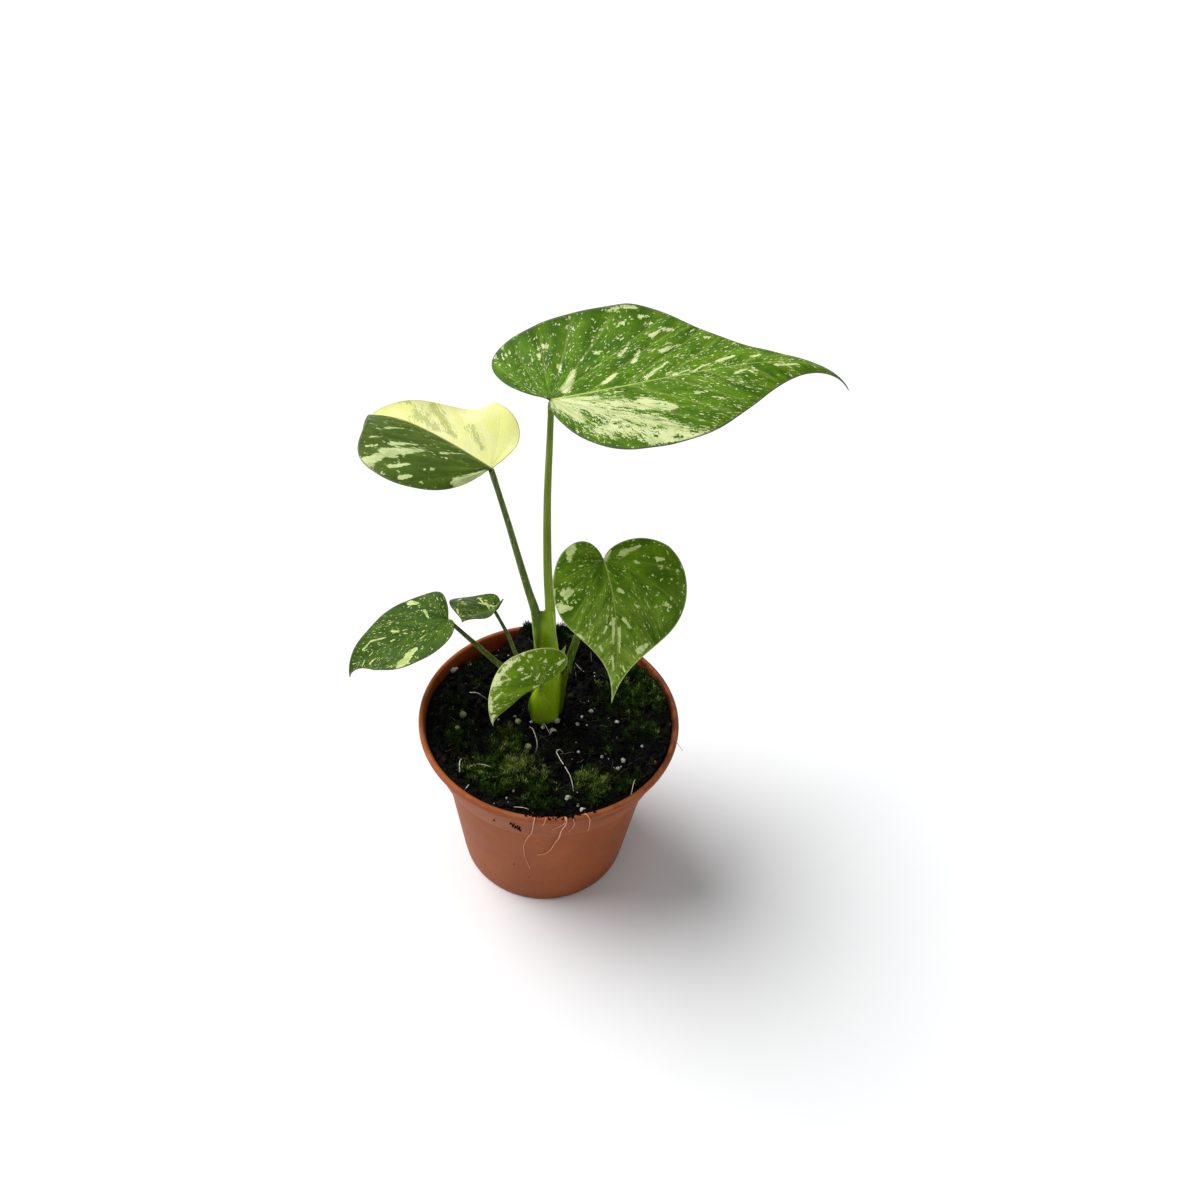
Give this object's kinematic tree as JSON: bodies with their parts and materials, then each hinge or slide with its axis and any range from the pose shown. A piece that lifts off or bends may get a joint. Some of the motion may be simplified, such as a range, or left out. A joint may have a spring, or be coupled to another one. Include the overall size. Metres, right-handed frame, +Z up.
{
  "type": "potted monstera plant",
  "caption": "Young variegated monstera with heart-shaped cream-splashed leaves on slender stalks, growing in peat mix in a round terracotta-coloured plastic nursery pot.",
  "frame": {"origin": "centre of the pot's underside, in the plane the pot stands on", "axes": "+Z up along the pot's axis, -Y the plant's front as pictured, +X to the right as seen from the front, where the longest leaf points"},
  "size_m": [0.1977, 0.12, 0.2718],
  "materials": {
    "pot_plastic": "satin moulded thin plastic, terracotta brown, unglazed look",
    "peat_soil": "rough near-black peat mix with pale grains, fine roots and moss",
    "stem_green": "smooth yellow-green living stalk, soft sheen",
    "leaf_variegated": "satin green leaf with cream splashes, specks and veins"
  },
  "bodies": {
    "root": {"pot": "pot_plastic", "soil": "peat_soil", "crown": "stem_green", "petiole_upper_right": "stem_green", "petiole_upper_left": "stem_green", "petiole_heart_front": "stem_green", "petiole_low_left": "stem_green", "petiole_young_back": "stem_green", "petiole_young_front": "stem_green", "blade_upper_right": "leaf_variegated", "blade_upper_left": "leaf_variegated", "blade_heart_front": "leaf_variegated", "blade_low_left": "leaf_variegated", "blade_young_back": "leaf_variegated", "blade_young_front": "leaf_variegated"}
  },
  "joints": []
}
